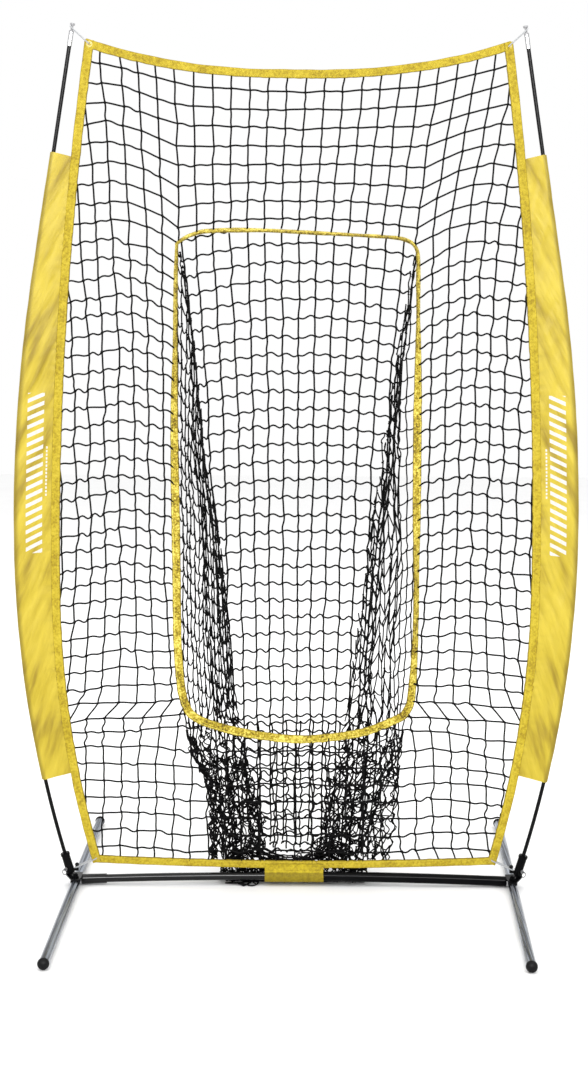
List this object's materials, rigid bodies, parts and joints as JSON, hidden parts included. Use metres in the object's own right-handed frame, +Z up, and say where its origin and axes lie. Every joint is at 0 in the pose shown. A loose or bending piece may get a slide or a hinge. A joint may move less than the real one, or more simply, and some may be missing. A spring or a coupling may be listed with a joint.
{
  "type": "pitching target net",
  "caption": "Free-standing pitching target net: bowed poles on a folding base hold black netting with a yellow-bound strike-zone opening and a ball pocket.",
  "frame": {"origin": "middle of the footprint, on the ground", "axes": "+X along the base bar to the right as the pitcher sees it, -Y towards the pitcher, +Z up"},
  "size_m": [1.4036, 1.037, 2.1338],
  "materials": {
    "steel_black": "satin",
    "steel_bright": "gloss",
    "zinc": "satin",
    "aluminium": "satin",
    "fibreglass": "gloss",
    "plastic_black": "matte",
    "netting": "matte",
    "yellow_binding": "matte",
    "yellow_cloth": "satin",
    "elastic": "matte",
    "spring_steel": "satin",
    "plastic_grey": "satin",
    "yellow_enamel": "satin"
  },
  "bodies": {
    "frame": {"base_bar_left": "steel_black", "base_bar_right": "steel_black", "hub_left": "steel_black", "hub_right": "steel_black", "pole_socket_left": "steel_black", "pole_socket_right": "steel_black", "pivot_bolt_left": "steel_black", "pivot_bolt_right": "steel_black", "pivot_washers": "steel_black", "pivot_nuts": "steel_black", "bar_rivets": "zinc", "bar_snap_spring": "spring_steel", "tip_ferrule_left": "aluminium", "tip_ferrule_right": "aluminium", "pole_ferrules_left": "aluminium", "pole_ferrules_right": "aluminium", "tip_cap_left": "plastic_grey", "tip_cap_right": "plastic_grey", "corner_eyelets": "yellow_enamel", "pole_lower_left": "fibreglass", "pole_lower_right": "fibreglass", "pole_middle_left": "fibreglass", "pole_middle_right": "fibreglass", "pole_upper_left": "fibreglass", "pole_upper_right": "fibreglass", "bar_bushings": "plastic_black", "corner_hooks": "plastic_black", "net_panel_top": "netting", "net_panel_bottom": "netting", "net_panel_left": "netting", "net_panel_right": "netting", "pocket_back": "netting", "pocket_side_left": "netting", "pocket_side_right": "netting", "pocket_heap": "netting", "binding_top": "yellow_binding", "binding_bottom": "yellow_binding", "binding_left": "yellow_binding", "binding_right": "yellow_binding", "strike_zone_binding": "yellow_binding", "bar_tab": "yellow_binding", "sleeve_left": "yellow_cloth", "sleeve_right": "yellow_cloth", "top_cord_left": "elastic", "top_cord_right": "elastic", "bottom_cord_left": "elastic", "bottom_cord_right": "elastic"},
    "leg_left": {"leg_tube_left": "steel_bright", "leg_saddle_left": "plastic_black", "leg_cap_front_left": "plastic_black", "leg_cap_rear_left": "plastic_black"},
    "leg_right": {"leg_tube_right": "steel_bright", "leg_saddle_right": "plastic_black", "leg_cap_front_right": "plastic_black", "leg_cap_rear_right": "plastic_black"},
    "pin_left": {"pull_pin_left": "zinc"},
    "pin_right": {"pull_pin_right": "zinc"},
    "ring_left": {"pull_ring_left": "steel_black"},
    "ring_right": {"pull_ring_right": "steel_black"},
    "snap_button": {"bar_snap_button": "zinc"}
  },
  "joints": [
    {"name": "leg_left_swivel", "type": "hinge", "parent": "frame", "child": "leg_left", "pos_m": [-0.557, 0, 0.013], "axis": [0, 0, 1], "range_deg": [0, 90]},
    {"name": "pin_left_pull", "type": "slide", "parent": "frame", "child": "pin_left", "axis": [-0.5736, -0.8192, 0], "range_m": [0, 0.028]},
    {"name": "ring_left_swing", "type": "hinge", "parent": "pin_left", "child": "ring_left", "pos_m": [-0.58641, 0.01444, 0.04358], "axis": [0.8192, -0.5736, 0], "range_deg": [-50, 26]},
    {"name": "leg_right_swivel", "type": "hinge", "parent": "frame", "child": "leg_right", "pos_m": [0.557, 0, 0.013], "axis": [0, 0, -1], "range_deg": [-3, 87]},
    {"name": "pin_right_pull", "type": "slide", "parent": "frame", "child": "pin_right", "axis": [0.5736, -0.8192, 0], "range_m": [0, 0.028]},
    {"name": "ring_right_swing", "type": "hinge", "parent": "pin_right", "child": "ring_right", "pos_m": [0.58641, 0.01444, 0.04358], "axis": [0.8192, 0.5736, 0], "range_deg": [-50, 26]},
    {"name": "snap_button_press", "type": "slide", "parent": "frame", "child": "snap_button", "axis": [0, -1, 0], "range_m": [0, 0.0032], "stiffness_N_per_m": 1500}
  ]
}
